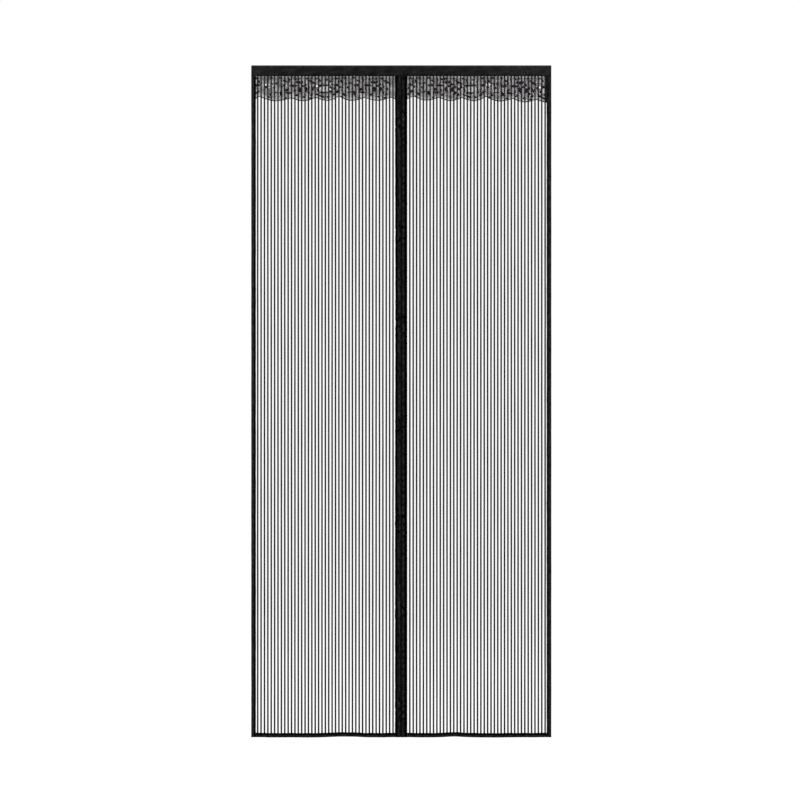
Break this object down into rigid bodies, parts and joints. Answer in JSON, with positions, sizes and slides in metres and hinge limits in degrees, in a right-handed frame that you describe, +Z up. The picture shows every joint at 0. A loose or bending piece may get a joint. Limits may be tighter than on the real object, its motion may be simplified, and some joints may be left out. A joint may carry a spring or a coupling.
{
  "type": "door insect curtain",
  "caption": "Door insect curtain: two striped net panels under a header and lace valance, with folded edge bindings and magnet bands that close at the centre line.",
  "frame": {"origin": "middle of the header, on the adhesive back face of its hook tape", "axes": "+Z up along the curtain's height, +X to the right as seen from the front, +Y back to the door frame"},
  "size_m": [0.9, 0.0085, 2.018],
  "materials": {
    "header_ribbon": "black woven ribbon, slight sheen",
    "binding_ribbon": "black woven ribbon, matt",
    "net": "black polyester net with dense stripes",
    "lace": "black floral lace with a faint purple cast",
    "loop_pile": "black brushed loop pile",
    "hook_plastic": "black moulded hooks on an adhesive backing",
    "magnet": "dark coated ferrite"
  },
  "bodies": {
    "root": {"header_band": "header_ribbon", "header_hook_tape": "hook_plastic", "header_loop_tape": "loop_pile", "left_net": "net", "right_net": "net", "left_lace": "lace", "right_lace": "lace", "left_side_binding": "binding_ribbon", "right_side_binding": "binding_ribbon", "left_centre_band": "binding_ribbon", "right_centre_band": "binding_ribbon", "left_bottom_binding": "binding_ribbon", "right_bottom_binding": "binding_ribbon", "left_magnet_1": "magnet", "left_magnet_2": "magnet", "left_magnet_3": "magnet", "left_magnet_4": "magnet", "left_magnet_5": "magnet", "left_magnet_6": "magnet", "left_magnet_7": "magnet", "right_magnet_1": "magnet", "right_magnet_2": "magnet", "right_magnet_3": "magnet", "right_magnet_4": "magnet", "right_magnet_5": "magnet", "right_magnet_6": "magnet", "right_magnet_7": "magnet", "left_loop_patch_1": "loop_pile", "left_loop_patch_2": "loop_pile", "left_loop_patch_3": "loop_pile", "left_loop_patch_4": "loop_pile", "right_loop_patch_1": "loop_pile", "right_loop_patch_2": "loop_pile", "right_loop_patch_3": "loop_pile", "right_loop_patch_4": "loop_pile", "left_hook_patch_1": "hook_plastic", "left_hook_patch_2": "hook_plastic", "left_hook_patch_3": "hook_plastic", "left_hook_patch_4": "hook_plastic", "right_hook_patch_1": "hook_plastic", "right_hook_patch_2": "hook_plastic", "right_hook_patch_3": "hook_plastic", "right_hook_patch_4": "hook_plastic"}
  },
  "joints": []
}
